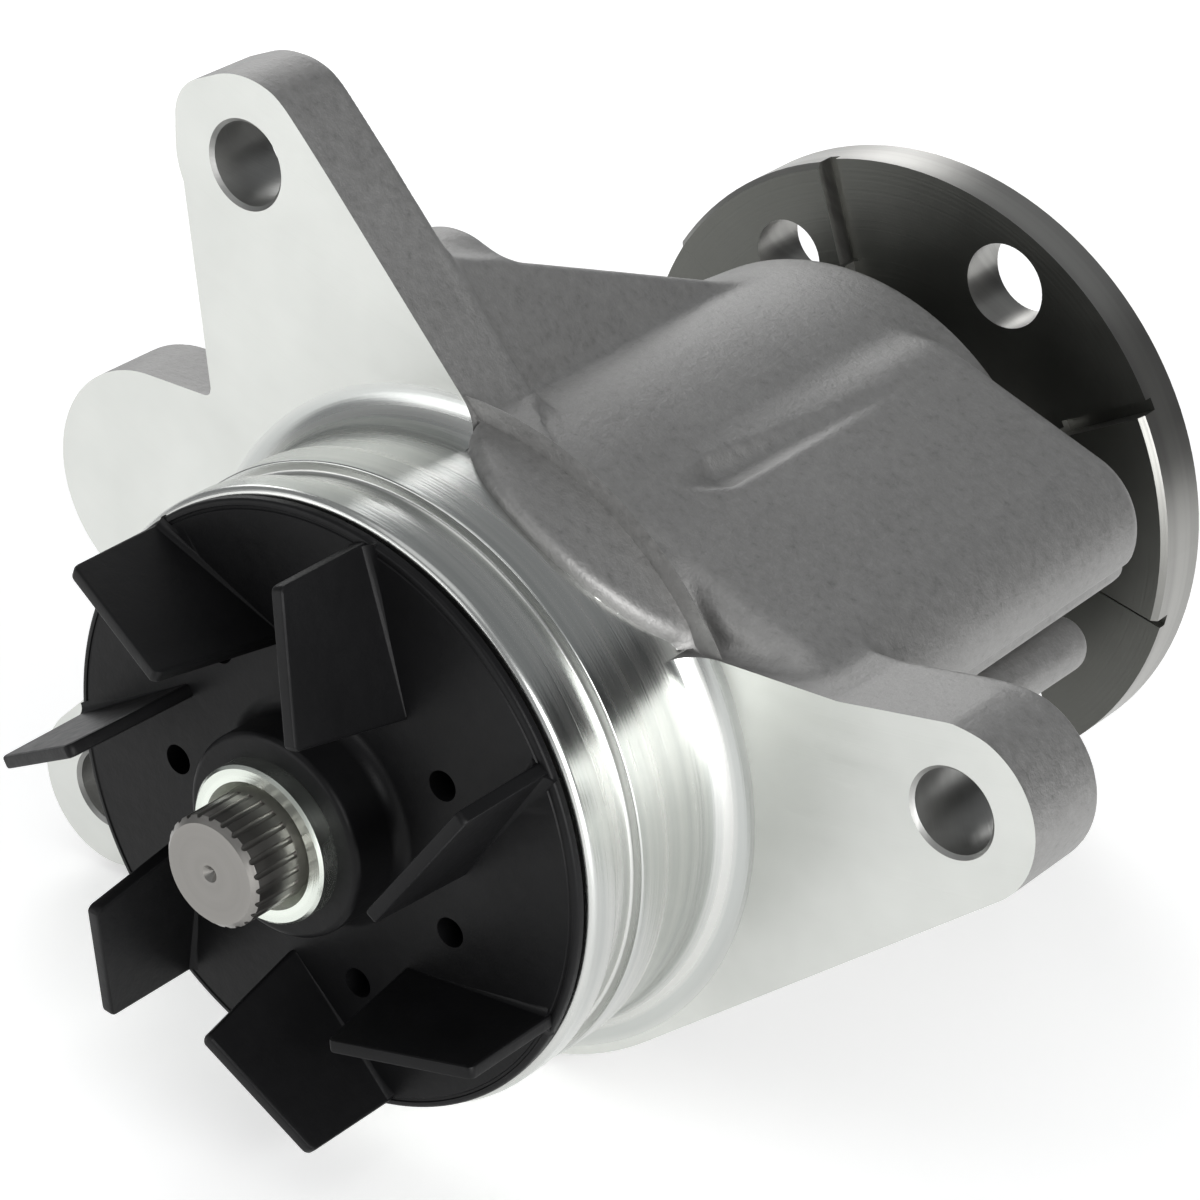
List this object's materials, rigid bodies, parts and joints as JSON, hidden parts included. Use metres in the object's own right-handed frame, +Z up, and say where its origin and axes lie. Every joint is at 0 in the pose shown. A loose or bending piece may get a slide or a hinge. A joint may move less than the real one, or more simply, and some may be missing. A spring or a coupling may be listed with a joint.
{
  "type": "water pump",
  "caption": "Engine coolant pump: eared aluminium flange with a turned spigot, moulded vaned impeller, sealed bearing shaft and slotted pulley hub.",
  "frame": {"origin": "on the shaft's axis, in the plane of the machined mounting face", "axes": "-Y points out of the mounting face, to the impeller; +Y points to the pulley hub; +Z is up, towards the tall ear"},
  "size_m": [0.1285, 0.1179, 0.0987],
  "materials": {
    "cast_aluminium": "cast, with turned and milled faces",
    "black_plastic": "moulded satin",
    "bright_steel": "turned",
    "shaft_steel": "ground",
    "hub_steel": "turned and lightly oiled",
    "bearing_steel": "ground",
    "cage_brass": "satin",
    "black_rubber": "matte",
    "seal_steel": "drawn",
    "carbon": "lapped",
    "ceramic": "lapped"
  },
  "bodies": {
    "casing": {"housing": "cast_aluminium", "bearing_outer_ring": "bearing_steel", "bearing_seal_front": "black_rubber", "bearing_seal_rear": "black_rubber", "seal_case": "seal_steel", "seal_bellows": "black_rubber", "seal_spring": "seal_steel"},
    "rotor": {"bearing_shaft": "shaft_steel", "impeller": "black_plastic", "impeller_insert": "bright_steel", "pulley_hub": "hub_steel", "slinger": "black_rubber", "seal_mating_ring": "ceramic", "seal_mating_cup": "black_rubber", "seal_sleeve": "seal_steel"},
    "ball_set": {"bearing_balls": "bearing_steel", "ball_cage": "cage_brass"},
    "roller_set": {"bearing_rollers": "bearing_steel", "roller_cage": "cage_brass"},
    "seal_head": {"seal_carbon_ring": "carbon", "seal_drive_ring": "seal_steel"}
  },
  "joints": [
    {"name": "shaft_spin", "type": "hinge", "parent": "casing", "child": "rotor", "pos_m": [0, 0, 0], "axis": [0, 1, 0], "continuous": true},
    {"name": "ball_orbit", "type": "hinge", "parent": "casing", "child": "ball_set", "pos_m": [0, 0.02, 0], "axis": [0, 1, 0], "continuous": true},
    {"name": "roller_orbit", "type": "hinge", "parent": "casing", "child": "roller_set", "pos_m": [0, 0.047, 0], "axis": [0, 1, 0], "continuous": true},
    {"name": "seal_float", "type": "slide", "parent": "casing", "child": "seal_head", "axis": [0, 1, 0], "range_m": [0, 0.0012], "stiffness_N_per_m": 300, "springref_m": -0.004, "deforming": ["seal_spring", "seal_bellows"]}
  ],
  "couplings": [
    {"joint": "ball_orbit", "follows": "shaft_spin", "ratio": 0.3421},
    {"joint": "roller_orbit", "follows": "shaft_spin", "ratio": 0.388}
  ]
}
